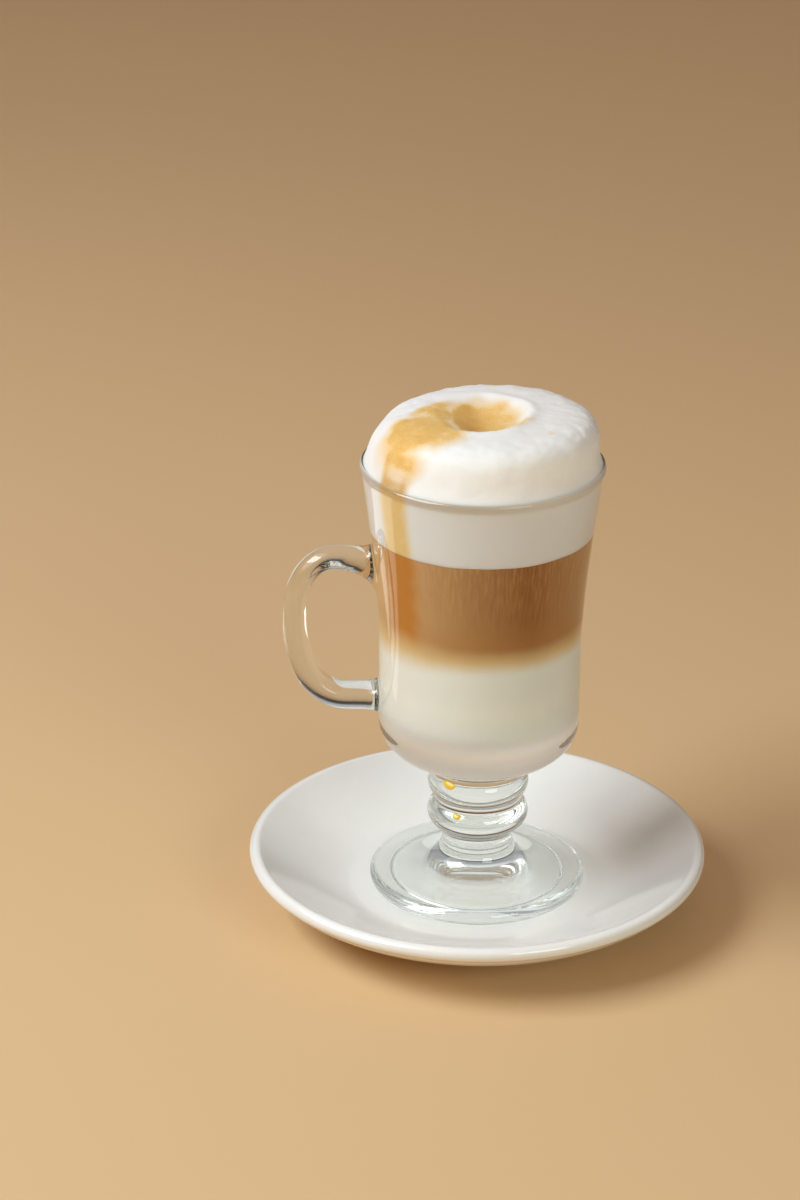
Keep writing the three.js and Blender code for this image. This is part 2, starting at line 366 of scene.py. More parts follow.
def circle(radius, height, around):
    """Points of a level circle about the Z axis."""
    turns = [tau * step / around for step in range(around)]
    return [(radius * cos(turned_by), radius * sin(turned_by), height) for turned_by in turns]


def turn(shell, profile, around=AROUND):
    """Turns an outline that starts and ends on the axis, and returns its loops."""
    loops = [shell.loop(circle(radius, height, around)) for radius, height in profile[1:-1]]
    shell.cap(loops[0], (0, 0, profile[0][1]))
    shell.cap(loops[-1], (0, 0, profile[-1][1]))
    return loops


def turned(name, profile, around=AROUND):
    """A piece turned about the Z axis."""
    shell = Shell()
    loops = turn(shell, profile, around)
    for lower, upper in zip(loops, loops[1:]):
        shell.join(lower, upper)
    return shell.build(name)


def settle(piece, slot, finish, *nodes):
    """Gives a piece its finish and its body, and hides the nodes that it stands for. The slot is not used.
    """
    piece.data.materials.append(finish)
    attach(piece, BODY)
    if nodes:
        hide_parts(*nodes)


# Materials

# Glow that stands in for the light that spreads inside the drink
GOLD_IN_GLOW = 0.45
LOW_MILK_GLOW = (1.5, 1.2, 1.0)
COFFEE_GLOW = (0.44, 0.11, 0.02)
DRINK_GLOW_STRENGTH = 0.13
FOAM_GLOW = (1.0, 0.55, 0.35)
FOAM_GLOW_SHARE = 0.07
DARK = (0.0, 0.0, 0.0)

# Other constants of the finishes
GLASS_IOR = 1.5
GLASS_DENSITY = 14.0
STREAM_SPREAD = 0.2
STREAK_STRETCH = (1, 1, 0.07)
FOAM_SHADE = (0.985, 0.98, 0.97)


def feed(tree, value, socket):
    """Links a socket to another one, or sets it to a value or a colour."""
    if isinstance(value, bpy.types.NodeSocket):
        tree.links.new(value, socket)
    elif socket.type == "RGBA":
        socket.default_value = (*value, 1.0)
    else:
        socket.default_value = value


def put(tree, kind, sockets=None, **settings):
    """Adds a node, with its settings and with its sockets set to values or linked."""
    node = tree.nodes.new(kind)
    for key, value in settings.items():
        setattr(node, key, value)
    for key, value in (sockets or {}).items():
        feed(tree, value, node.inputs[key])
    return node


def calculate(tree, operation, *values, clamp=False):
    """A Math node's result."""
    node = put(tree, "ShaderNodeMath", dict(enumerate(values)), operation=operation, use_clamp=clamp)
    return node.outputs[0]


def times(tree, first, second):
    """Product of two values."""
    return calculate(tree, "MULTIPLY", first, second)


def remap(tree, value, low, high, start=0.0, end=1.0, kind="LINEAR"):
    """Maps a value from one range to another, within that range."""
    sockets = {"Value": value, "From Min": low, "From Max": high, "To Min": start, "To Max": end}
    return put(tree, "ShaderNodeMapRange", sockets, interpolation_type=kind).outputs["Result"]


def fade(tree, value, low, high, start=0.0, end=1.0):
    """Maps a value from one range to another with soft ends."""
    return remap(tree, value, low, high, start, end, "SMOOTHSTEP")


def tint(tree, amount, first, second):
    """Mixes two colours."""
    node = put(tree, "ShaderNodeMix", data_type="RGBA")
    inputs = {entry.identifier: entry for entry in node.inputs}
    feed(tree, amount, inputs["Factor_Float"])
    feed(tree, first, inputs["A_Color"])
    feed(tree, second, inputs["B_Color"])
    return next(entry for entry in node.outputs if entry.identifier == "Result_Color")


def speckle(tree, place, size, detail=2.0, roughness=0.5):
    """Noise with spots of about the given size."""
    sockets = {"Vector": place, "Scale": 1 / size, "Detail": detail, "Roughness": roughness}
    return put(tree, "ShaderNodeTexNoise", sockets).outputs["Fac"]


def ripple(tree, place, size, reach, detail=2.0, roughness=0.5):
    """Noise about zero, half of the reach up and down."""
    centred = calculate(tree, "SUBTRACT", speckle(tree, place, size, detail, roughness), 0.5)
    return times(tree, centred, reach)


def split(tree, vector):
    """The X, Y and Z sockets of a vector."""
    return put(tree, "ShaderNodeSeparateXYZ", {"Vector": vector}).outputs


def shade(tone, share_left):
    """A darker copy of a colour."""
    return [part * share_left for part in tone]


def start_finish(name):
    """A new material with its tree, its shader and its object coordinates."""
    finish = bpy.data.materials.new(name)
    finish.use_nodes = True
    tree = finish.node_tree
    shader = tree.nodes["Principled BSDF"]
    place = put(tree, "ShaderNodeTexCoord").outputs["Object"]
    return finish, tree, shader, place


def dress(tree, shader, **sockets):
    """Sets or links sockets of the shader, named with _ for a blank."""
    for key, value in sockets.items():
        feed(tree, value, shader.inputs[key.replace("_", " ")])


def emboss(tree, height, strength, depth):
    """A bump normal from a height."""
    sockets = {"Height": height, "Strength": strength, "Distance": depth}
    return put(tree, "ShaderNodeBump", sockets).outputs["Normal"]


def porcelain_finish(finishes):
    """White glaze with a faint unevenness and a few darker pores."""
    finish, tree, shader, place = start_finish("porcelain_glaze")
    cloud = speckle(tree, place, 22 * MM, 3)
    pores = remap(tree, speckle(tree, place, 0.9 * MM, 1), 0.74, 0.82)
    patches = remap(tree, cloud, 0.35, 0.7)
    white = tint(tree, patches, finishes.porcelain, shade(finishes.porcelain, 0.965))
    dotted = tint(tree, times(tree, pores, 0.12), white, finishes.pore)
    dress(tree, shader, Base_Color=dotted, Roughness=remap(tree, cloud, 0.3, 0.7, 0.14, 0.2),
          Normal=emboss(tree, speckle(tree, place, 9 * MM), 0.05, 0.4 * MM),
          IOR=1.5, Coat_Weight=0.35, Coat_Roughness=0.06)
    return finish


def glass_finish(finishes):
    """Clear pressed glass with slight waves, darker with depth, that lets lamp light straight through."""
    finish, tree, shader, place = start_finish("clear_pressed_glass")
    haze = speckle(tree, place, 30 * MM, 3)
    clear = tint(tree, haze, finishes.glass, shade(finishes.glass, 0.985))
    waves = speckle(tree, place, 14 * MM, 1)
    dress(tree, shader, Base_Color=clear, Normal=emboss(tree, waves, 0.06, 0.6 * MM),
          Roughness=0.0, Transmission_Weight=1.0, IOR=GLASS_IOR)
    lamp_ray = put(tree, "ShaderNodeLightPath").outputs["Is Shadow Ray"]
    passing = put(tree, "ShaderNodeBsdfTransparent", {"Color": finishes.glass_shade})
    shaders = {0: lamp_ray, 1: shader.outputs["BSDF"], 2: passing.outputs["BSDF"]}
    mixed = put(tree, "ShaderNodeMixShader", shaders)
    thickness = {"Color": finishes.glass_depth, "Density": GLASS_DENSITY}
    depth = put(tree, "ShaderNodeVolumeAbsorption", thickness)
    output = tree.nodes["Material Output"]
    tree.links.new(depth.outputs["Volume"], output.inputs["Volume"])
    tree.links.new(mixed.outputs["Shader"], output.inputs["Surface"])
    return finish


def stream_amount(tree, place, drink):
    """How much a point lies in the stream of coffee, by its angle about the axis."""
    parts = split(tree, place)
    around = calculate(tree, "ARCTAN2", parts["Y"], parts["X"])
    offset = calculate(tree, "SUBTRACT", around, drink.stream_angle)
    offset = calculate(tree, "ADD", offset, ripple(tree, place, 7 * MM, 0.16))
    offset = calculate(tree, "ABSOLUTE", offset)
    return fade(tree, offset, STREAM_SPREAD * 1.5, STREAM_SPREAD * 0.45)


def coffee_colour(tree, place, drink, finishes, base):
    """Coffee with painted light, lighter towards both sides, with upright streaks and the stream of
    undiluted coffee.
    """
    parts = split(tree, place)
    level = base + drink.milk_top
    # Painted light: lighter on the handle's side, where the lamp light falls, and a little lighter at the
    # far edge
    lit_handle_side = remap(tree, parts["X"], 13 * MM, -30 * MM)
    lit_far_side = remap(tree, parts["X"], 15 * MM, 29 * MM, 0.0, 0.5)
    side = calculate(tree, "MAXIMUM", lit_handle_side, lit_far_side)
    brown = tint(tree, side, finishes.coffee, finishes.lit_side_and_streak_coffee)
    mapping = put(tree, "ShaderNodeMapping", {"Vector": place, "Scale": STREAK_STRETCH})
    streaks = speckle(tree, mapping.outputs["Vector"], 0.9 * MM, 3)
    streaks = remap(tree, streaks, 0.3, 0.7, -0.5, 0.5)
    upper = remap(tree, parts["Z"], level + 8 * MM, base + drink.coffee_top)
    streaks = times(tree, streaks, times(tree, upper, 0.6))
    streaks = calculate(tree, "ADD", streaks, 0.08, clamp=True)
    brown = tint(tree, streaks, brown, finishes.lit_side_and_streak_coffee)
    low = fade(tree, parts["Z"], level + 16 * MM, level + 3 * MM, 0.0, 0.42)
    brown = tint(tree, low, brown, finishes.coffee_low)
    return tint(tree, stream_amount(tree, place, drink), brown, finishes.amber)


def drink_colour(tree, place, drink, finishes, base):
    """Milk, coffee and the golden band between them, with the milk paler low in the bowl as painted light.
    """
    parts = split(tree, place)
    level = base + drink.milk_top
    brown = coffee_colour(tree, place, drink, finishes, base)
    wander = ripple(tree, place, 9 * MM, 1.8 * MM, 3)
    above = calculate(tree, "SUBTRACT", calculate(tree, "ADD", parts["Z"], wander), level)
    spread = fade(tree, parts["X"], -4 * MM, -27 * MM, drink.blend / 2, drink.blend_side / 2)
    mixed = calculate(tree, "DIVIDE", above, spread)
    cloud = speckle(tree, place, 18 * MM, 3)
    milk = tint(tree, cloud, finishes.milk, shade(finishes.milk, 0.96))
    # Painted light: the milk turns paler towards the bottom of the bowl
    bottom = fade(tree, parts["Z"], level - 18 * MM, level - 34 * MM)
    milk = tint(tree, bottom, milk, finishes.lit_low_milk)
    golden = tint(tree, fade(tree, mixed, -1.0, 0.15), milk, finishes.gold)
    return tint(tree, fade(tree, mixed, -0.25, 1.2), golden, brown)


def drink_finish(name, drink, finishes, base):
    """A drink seen through the wall of the glass, with a painted glow of light."""
    finish, tree, shader, place = start_finish(name)
    height = split(tree, place)["Z"]
    level = base + drink.milk_top
    shown = drink_colour(tree, place, drink, finishes, base)
    deep = fade(tree, height, level - 12 * MM, level - 24 * MM)
    # Painted light: an emission glow, stronger low in the milk and warm near the coffee, stands in for
    # light spreading inside the drink
    glow = tint(tree, GOLD_IN_GLOW, shown, finishes.gold)
    glow = tint(tree, remap(tree, height, level - 24 * MM, level - 36 * MM), glow, LOW_MILK_GLOW)
    glow = tint(tree, remap(tree, height, level - 2 * MM, level + 5 * MM), glow, COFFEE_GLOW)
    dress(tree, shader, Base_Color=shown, Emission_Color=glow, Emission_Strength=DRINK_GLOW_STRENGTH,
          Roughness=remap(tree, speckle(tree, place, 12 * MM), 0.3, 0.7, 0.45, 0.6),
          Subsurface_Weight=deep, Subsurface_Radius=(1.0, 0.9, 0.75), Subsurface_Scale=14 * MM,
          Specular_IOR_Level=0.05)
    return finish


def foam_finish(glass, finishes, base):
    """Fine white foam with pinprick bubbles, stained by coffee in the crater and along the stream, with
    painted light and shade near the glass's rim.
    """
    finish, tree, shader, place = start_finish("milk_foam")
    height = split(tree, place)["Z"]
    rim = base + glass.rim_height
    stained = put(tree, "ShaderNodeAttribute", attribute_name="stain").outputs["Fac"]
    mottle = ripple(tree, place, 4 * MM, 0.5, 4, 0.6)
    grain = ripple(tree, place, 0.55 * MM, 0.45)
    uneven = times(tree, calculate(tree, "ADD", mottle, grain), stained)
    stained = calculate(tree, "ADD", stained, uneven, clamp=True)
    cells = {"Vector": place, "Scale": 1 / (0.8 * MM), "Randomness": 1.0}
    bubbles = put(tree, "ShaderNodeTexVoronoi", cells, feature="F1").outputs["Distance"]
    pits = remap(tree, bubbles, 0.05, 0.3, 1.0, 0.0)
    inside = remap(tree, height, rim + 0.9 * MM, rim + 0.2 * MM)
    # Painted shade: the foam darkens just below the rim, behind the glass's lip
    lip_shade = times(tree, inside, remap(tree, height, rim - 2.6 * MM, rim - 1.2 * MM))
    faint = [part * share_left for part, share_left in zip(finishes.foam, FOAM_SHADE)]
    white = tint(tree, speckle(tree, place, 11 * MM, 3), finishes.foam, faint)
    white = tint(tree, times(tree, pits, 0.06), white, finishes.pit)
    # Painted light: behind the glass wall the foam takes a brighter, warmer copy of its colour
    white = tint(tree, inside, white, finishes.warm_lit_foam)
    white = tint(tree, lip_shade, white, finishes.shaded_lip_foam)
    strong = remap(tree, stained, 0.7, 1.0)
    # Real coffee stain, darkened towards the rim as painted shade
    flank = fade(tree, height, rim + 8 * MM, rim + 1 * MM, 0.0, 0.95)
    coffee = tint(tree, strong, finishes.stain, finishes.stain_deep)
    coffee = tint(tree, flank, coffee, finishes.flank_stain_and_shade)
    # Painted light: behind the glass wall the stain takes a brighter copy of its colour
    coffee = tint(tree, inside, coffee, finishes.lit_stain_inside)
    shown = tint(tree, remap(tree, stained, 0.0, 0.8), white, coffee)
    froth = calculate(tree, "ADD", times(tree, pits, -0.35), speckle(tree, place, 1.6 * MM, 4))
    # Painted light: a faint warm emission glow in the foam behind the glass wall
    glow = tint(tree, times(tree, inside, FOAM_GLOW_SHARE), DARK, FOAM_GLOW)
    dress(tree, shader, Base_Color=shown, Roughness=remap(tree, stained, 0.0, 1.0, 0.62, 0.42),
          Normal=emboss(tree, froth, 0.16, 0.25 * MM), Emission_Color=glow, Emission_Strength=1.0,
          Subsurface_Weight=0.7, Subsurface_Radius=(1.0, 0.95, 0.85), Subsurface_Scale=3 * MM,
          Specular_IOR_Level=0.25)
    return finish


def drip_finish(finishes):
    """Amber, uneven in tone and gloss."""
    finish, tree, shader, place = start_finish("amber_stem_drops")
    cloud = speckle(tree, place, 1.5 * MM)
    amber = tint(tree, cloud, finishes.drip, finishes.drip_deep)
    dress(tree, shader, Base_Color=amber, Roughness=remap(tree, cloud, 0.3, 0.7, 0.12, 0.3),
          Subsurface_Weight=0.3, Subsurface_Scale=0.6 * MM)
    return finish


def floor_finish(finishes):
    """Pale matt floor with a faint cloud."""
    finish, tree, shader, place = start_finish("pale_floor")
    cloud = speckle(tree, place, 0.35, 3)
    pale = tint(tree, cloud, finishes.floor, shade(finishes.floor, 0.97))
    dress(tree, shader, Base_Color=pale, Roughness=remap(tree, cloud, 0.3, 0.7, 0.55, 0.62),
          Specular_IOR_Level=0.2)
    return finish


# Saucer

def saucer_profile(sizes):
    """Outline of the saucer from the middle of its underside to the middle of its well."""
    recess = sizes.foot_recess
    inside = sizes.foot_inside
    outside = sizes.foot_outside
    bevel = 1.5 * MM
    slope_steps = 44
    lip_centre = (sizes.radius - sizes.lip, sizes.height - sizes.lip)
    lip = arc(lip_centre, (sizes.lip, sizes.lip), -62, 121, 26)
    middle = (0, recess)
    step_in = (inside - 2 * bevel, recess)
    step_out = (outside + 4 * bevel, recess + bevel)
    underside = [middle, *straight(middle, step_in, 6),
                 *sweep(step_in, (inside - bevel, recess),
                        (inside - 0.7 * bevel, 0), (inside + 0.4 * bevel, 0), 10)]
    ring = straight((inside, 0), (outside, 0), 8)
    rise = sweep((outside - 0.4 * bevel, 0), (outside + 0.7 * bevel, 0),
                 (outside + bevel, recess), step_out, 12)
    under = sweep(step_out, (outside + 12 * MM, recess + 5 * MM),
                  (lip[0][0] - 5 * MM, lip[0][1] - 6 * MM), lip[0], 24)
    profile = [*underside, *ring, *rise, *under, *lip]
    end_radius, end_height = lip[-1]
    for step in range(1, slope_steps + 1):
        along = 1 - step / slope_steps
        height = sizes.well_top + (end_height - sizes.well_top) * along ** sizes.slope_power
        profile.append((lerp(sizes.well_radius, end_radius, along), height))
    well = (0, sizes.well_top)
    return [*profile, *straight((sizes.well_radius, sizes.well_top), well, 14), well]


# Glass

def bowl_radius(glass, height):
    """Outer radius of the bowl's wall."""
    span = glass.rim_height - glass.waist_height
    flare = glass.rim_radius - glass.lip_proud - glass.barrel_radius
    return glass.barrel_radius + flare * max(0.0, (height - glass.waist_height) / span) ** glass.flare_power


def inner_radius(glass, height):
    """Inner radius of the bowl's wall."""
    thinning = max(0.0, (height - glass.waist_height) / (glass.rim_height - glass.waist_height))
    return bowl_radius(glass, height) - lerp(glass.wall, glass.rim_wall, thinning)


def foot_profile(glass):
    """Outline of the foot from the middle of its hollow to the neck of the stem."""
    edge = glass.foot_edge
    step = glass.hollow_step
    step_start = (glass.foot_contact - step, step)
    hollow = [(0, glass.foot_hollow),
              *sweep((0, glass.foot_hollow), (0.4 * glass.foot_contact, glass.foot_hollow),
                     (0.7 * glass.foot_contact, 1.2 * step), step_start, 14),
              *arc((step_start[0], 0), (step, step), 90, 0, 8)]
    rim = arc((glass.foot_radius - edge, edge), (edge, edge), -90, 78, 18)
    top = (glass.sweep_radius, glass.sweep_height)
    neck = (glass.neck_radius, glass.neck_height)
    rise = fair(rim[-1], 172, top, 164, 3 * MM, 10)
    climb = sweep(top, (top[0] - 5.5 * MM, top[1] + 1.6 * MM),
                  (glass.neck_radius, glass.sweep_neck + 1.5 * MM), neck, 20)
    return [*hollow, *straight((glass.foot_contact, 0), rim[0], 3), *rim, *rise, top, *climb, neck]


def stem_profile(glass):
    """Outline of the two rings of the stem, up to the round bottom of the bowl."""
    lower_centre = (glass.ring_radius - glass.lower_bead, glass.lower_ring)
    lower = arc(lower_centre, (glass.lower_bead, glass.lower_bead), -60, 51, 18)
    upper_centre = (glass.ring_radius - glass.upper_bead, glass.upper_ring)
    upper = arc(upper_centre, (glass.upper_bead, glass.upper_bead), -46, 30, 14)
    centre = (glass.barrel_radius - glass.corner_across, glass.belt_height)
    corner = arc(centre, (glass.corner_across, glass.corner_down), -72, 0, 30)
    neck = (glass.neck_radius, glass.neck_height)
    return [*fair(neck, 90, lower[0], 30, 1.6 * MM, 7), *lower,
            *fair(lower[-1], 141, upper[0], 44, 0.7 * MM, 6), *upper,
            *fair(upper[-1], 120, corner[0], 14, 2.4 * MM, 10), *corner]


# How far the patches of wall reach below and above the middle of the handle's bars
LOWER_PATCH = (7.3 * MM, 7.9 * MM)
UPPER_PATCH = (14.2 * MM, 7 * MM)

# Steps along the handle and up the wall
FILLET_STEPS = 14
CALM_STEPS = 6
MIDDLE_STEPS = 72
BRIDGE_STEPS = 3
ROWS_BETWEEN = 20
ROWS_ABOVE = 16
INNER_ROWS = 44


class Window:
    """The patch of the bowl's wall where one end of the handle grows out of it."""

    HALF = 11
    ROWS = 16
    MIDDLE = AROUND // 2
    LEFT = MIDDLE - HALF
    RIGHT = MIDDLE + HALF

    def __init__(self, level, patch, upright):
        self.low = level - patch[0]
        self.high = level + patch[1]
        self.upright = upright
        self.first_row = 0

    def heights(self):
        """Heights of the wall's rows in the patch."""
        return [lerp(self.low, self.high, step / self.ROWS) for step in range(self.ROWS + 1)]

    def skipped(self, row):
        """Columns of the wall that are left open in a row."""
        if self.first_row <= row < self.first_row + self.ROWS:
            return range(self.LEFT, self.RIGHT)
        return ()

    def border(self, loops):
        """Numbers of the points round the patch, from its far edge towards +Y and round."""
        last = self.first_row + self.ROWS
        far, near = (last, self.first_row) if self.upright else (self.first_row, last)
        step = -1 if self.upright else 1
        order = [(far, column) for column in range(self.MIDDLE, self.LEFT, -1)]
        order += [(row, self.LEFT) for row in range(far, near, step)]
        order += [(near, column) for column in range(self.LEFT, self.RIGHT)]
        order += [(row, self.RIGHT) for row in range(near, far, -step)]
        order += [(far, column) for column in range(self.RIGHT, self.MIDDLE, -1)]
        return [loops[row][column] for row, column in order]


def handle_line(glass, handle):
    """Middle line of the handle from the upper join at the wall to the lower one."""
    top_wall = bowl_radius(glass, handle.top)
    bottom_wall = bowl_radius(glass, handle.bottom)
    top_corner = (-handle.reach + handle.top_bend_across, handle.top - handle.top_bend_down)
    bottom_corner = (-handle.reach + handle.bottom_bend_across, handle.bottom + handle.bottom_bend_up)
    upper = arc(top_corner, (handle.top_bend_across, handle.top_bend_down), 90, 180, 40)
    lower = arc(bottom_corner, (handle.bottom_bend_across, handle.bottom_bend_up), 180, 270, 40)
    points = [(-top_wall, handle.top), *straight((-top_wall, handle.top), upper[0], 20), *upper,
              *straight(upper[-1], lower[0], 20), *lower,
              *straight(lower[-1], (-bottom_wall, handle.bottom), 20), (-bottom_wall, handle.bottom)]
    return [Vector((x, 0, z)) for x, z in points]


class HandleTube:
    """The handle's surface, by the distance along its middle line and the turn about it."""

    def __init__(self, glass, handle):
        self.glass = glass
        self.handle = handle
        self.line = handle_line(glass, handle)
        self.lengths = [0.0]
        for start, end in zip(self.line, self.line[1:]):
            self.lengths.append(self.lengths[-1] + (end - start).length)
        self.total = self.lengths[-1]
        self.calm = handle.web_length + 1.5 * MM

    def station(self, along):
        """Point and outward normal of the middle line at a distance from its upper end."""
        index = 0
        while index < len(self.lengths) - 2 and self.lengths[index + 1] < along:
            index += 1
        start, end = self.line[index], self.line[index + 1]
        amount = (along - self.lengths[index]) / (self.lengths[index + 1] - self.lengths[index])
        before = self.line[max(0, index - 1)]
        after = self.line[min(len(self.line) - 1, index + 2)]
        tangent = (end - start).normalized().lerp((after - before).normalized(), 0.5).normalized()
        return start.lerp(end, amount), Vector((tangent.z, 0, -tangent.x))

    def half_sizes(self, along):
        """Half the thickness and half the width of the bar."""
        share_down = smoothstep(0.0, 1.0, along / self.total)
        return (lerp(self.handle.top_thickness, self.handle.bottom_thickness, share_down ** 1.6) / 2,
                lerp(self.handle.top_width, self.handle.bottom_width, share_down) / 2)

    def rounding(self, turned_by, upper):
        """Length along the bar and spread on the wall of the rounding at a join."""
        far = max(0.0, cos(turned_by)) ** 1.5
        near = max(0.0, -cos(turned_by)) ** 1.5
        fillet = self.handle.fillet
        if upper:
            return (lerp(lerp(1.7 * fillet, 1.2 * fillet, far), self.handle.web_length, near),
                    lerp(lerp(fillet, 0.5 * fillet, far), self.handle.web, near))
        return (lerp(lerp(1.7 * fillet, 2.0 * fillet, far), 2.2 * fillet, near),
                lerp(lerp(fillet, 0.6 * fillet, far), 0.7 * fillet, near))

    def point(self, along, turned_by, spread):
        """A surface point; near the walls the section follows the round of the bowl."""
        centre, normal = self.station(along)
        thick, wide = self.half_sizes(along)
        outward = Vector((0, sin(turned_by) / wide, 0)) + normal * (cos(turned_by) / thick)
        bulge = cos(turned_by) + self.handle.inner_flat * (abs(cos(turned_by)) - 1)
        place = centre + normal * (thick * bulge) + Vector((0, wide * sin(turned_by), 0))
        place += outward.normalized() * spread
        from_wall = min(along, self.total - along)
        hug = 1 - smoothstep(0.0, self.calm, from_wall)
        if hug > 0:
            level = self.handle.top if along < self.total / 2 else self.handle.bottom
            wall = sqrt(bowl_radius(self.glass, place.z) ** 2 - place.y ** 2)
            place.x -= hug * (wall - bowl_radius(self.glass, level))
        return place

    def turns_for(self, window):
        """Section angles that lead straight to the border points of a window."""
        middle = self.handle.top if window.upright else self.handle.bottom
        half = tau / AROUND * Window.HALF * bowl_radius(self.glass, middle)
        far = abs((window.high if window.upright else window.low) - middle)
        near = abs((window.low if window.upright else window.high) - middle)
        across = [half * step / Window.HALF for step in range(-Window.HALF, Window.HALF + 1)]
        down = [lerp(far, -near, step / Window.ROWS) for step in range(Window.ROWS + 1)]
        steps = [(place, far) for place in across[Window.HALF:-1]]
        steps += [(half, place) for place in down[:-1]]
        steps += [(place, -near) for place in reversed(across[1:])]
        steps += [(-half, place) for place in reversed(down[1:])]
        steps += [(place, far) for place in across[:Window.HALF]]
        reach = (far + near) / 2
        shift = (far - near) / 2
        turns = [atan2(place / half, (height - shift) / reach) for place, height in steps]
        return [turns[0], *[value if value >= 0 else value + tau for value in turns[1:]]]

    def end_rings(self, turns, upper):
        """Rings of the rounding at one wall and of the bar next to it, from the wall outwards."""
        rings = []
        for step in range(FILLET_STEPS + 1):
            bend = pi / 2 * step / FILLET_STEPS
            ring = []
            for turned_by in turns:
                length, spread = self.rounding(turned_by, upper)
                along = length * (1 - cos(bend))
                ring.append(self.point(along if upper else self.total - along, turned_by,
                                       spread * (1 - sin(bend))))
            rings.append(ring)
        for step in range(1, CALM_STEPS):
            ring = []
            for turned_by in turns:
                along = lerp(self.rounding(turned_by, upper)[0], self.calm, step / CALM_STEPS)
                ring.append(self.point(along if upper else self.total - along, turned_by, 0))
            rings.append(ring)
        return rings

    def rings(self, top_turns, bottom_turns):
        """Rings of surface points from the upper wall to the lower one."""
        rings = self.end_rings(top_turns, True)
        for step in range(MIDDLE_STEPS + 1):
            along = lerp(self.calm, self.total - self.calm, step / MIDDLE_STEPS)
            blend = smoothstep(0, 1, step / MIDDLE_STEPS)
            rings.append([self.point(along, lerp(first, second, blend), 0)
                          for first, second in zip(top_turns, bottom_turns)])
        return rings + self.end_rings(bottom_turns, False)[::-1]


def bridge(shell, glass, ring, ring_points, border):
    """Joins a handle's end ring to the border of its window along the bowl's wall."""
    previous = ring
    for step in range(1, BRIDGE_STEPS):
        amount = step / BRIDGE_STEPS
        places = []
        for point, corner in zip(ring_points, border):
            target = Vector(shell.points[corner])
            height = lerp(point.z, target.z, amount)
            start_turn = atan2(point.y, point.x) % tau
            end_turn = atan2(target.y, target.x) % tau
            around = lerp(start_turn, end_turn, amount)
            radius = bowl_radius(glass, height)
            places.append((radius * cos(around), radius * sin(around), height))
        following = shell.loop(places)
        shell.join(previous, following)
        previous = following
    shell.join(previous, border)


def rows_between(low, high, steps):
    """Heights between two levels, without the levels themselves."""
    return [height for _, height in straight((0, low), (0, high), steps)]


def bowl_profile(glass, heights):
    """Outline of the bowl from its wall over the lip to the middle of its inner floor."""
    wall = [(bowl_radius(glass, height), height) for height in heights]
    lip = arc((glass.rim_radius - glass.lip, glass.rim_height), (glass.lip, glass.lip), -30, 155, 22)
    inner_top = glass.rim_height - 1.2 * glass.lip
    inner_heights = [lerp(inner_top, glass.inner_belt, step / INNER_ROWS) for step in range(INNER_ROWS)]
    inner = [(inner_radius(glass, height), height) for height in inner_heights]
    corner_centre = (inner_radius(glass, glass.inner_belt) - glass.inner_across, glass.inner_belt)
    corner = arc(corner_centre, (glass.inner_across, glass.inner_down), 0, -90, 28)
    floor = (0, corner[-1][1])
    return [*wall, *lip, *inner, *corner, *straight(corner[-1], floor, 4), floor]


def glass_shell(glass, handle):
    """Mesh of the glass: foot, stem, bowl and handle in one skin."""
    lower_window = Window(handle.bottom, LOWER_PATCH, False)
    upper_window = Window(handle.top, UPPER_PATCH, True)
    below = [*foot_profile(glass), *stem_profile(glass)]
    wall_end = glass.rim_height - 1.5 * glass.lip
    heights = [*lower_window.heights(), *rows_between(lower_window.high, upper_window.low, ROWS_BETWEEN),
               *upper_window.heights(), *rows_between(upper_window.high, wall_end, ROWS_ABOVE), wall_end]
    lower_window.first_row = len(below) - 1
    upper_window.first_row = lower_window.first_row + Window.ROWS + ROWS_BETWEEN
    shell = Shell()
    loops = turn(shell, [*below, *bowl_profile(glass, heights)])
    for row, (lower, upper) in enumerate(zip(loops, loops[1:])):
        shell.join(lower, upper, lower_window.skipped(row) or upper_window.skipped(row))
    tube = HandleTube(glass, handle)
    rings = tube.rings(tube.turns_for(upper_window), tube.turns_for(lower_window))
    ring_loops = [shell.loop([tuple(point) for point in ring]) for ring in rings]
    for first, second in zip(ring_loops, ring_loops[1:]):
        shell.join(first, second)
    bridge(shell, glass, ring_loops[0], rings[0], upper_window.border(loops))
    bridge(shell, glass, ring_loops[-1], rings[-1], lower_window.border(loops))
    return shell


# Drink

def lift(points, base):
    """Moves an outline up."""
    return [(radius, height + base) for radius, height in points]


def side_points(glass, drink, low, high, steps):
    """Outline of the drink's side, just inside the glass wall."""
    points = []
    for step in range(steps + 1):
        height = lerp(low, high, step / steps)
        points.append((inner_radius(glass, height) + drink.embed, height))
    return points


def milk_profile(glass, drink):
    """Outline of the milk from the bottom of the bowl to its level."""
    across = glass.inner_across + drink.embed
    down = glass.inner_down + drink.embed
    centre = (inner_radius(glass, glass.inner_belt) - glass.inner_across, glass.inner_belt)
    corner = arc(centre, (across, down), -90, 0, 30)
    floor = (0, corner[0][1])
    side = side_points(glass, drink, glass.inner_belt, drink.milk_top, 24)[1:]
    top = (0, drink.milk_top)
    return [floor, *straight(floor, corner[0], 4), *corner, *side, *straight(side[-1], top, 8), top]


def coffee_profile(glass, drink):
    """Outline of the coffee between the milk and the foam."""
    bottom = (0, drink.milk_top)
    side = side_points(glass, drink, drink.milk_top, drink.coffee_top, 30)
    top = (0, drink.coffee_top)
    return [bottom, *straight(bottom, side[0], 8), *side, *straight(side[-1], top, 8), top]


def turn_between(start, end):
    """Turn from one angle to another, within half a turn either way."""
    return (end - start + pi) % tau - pi


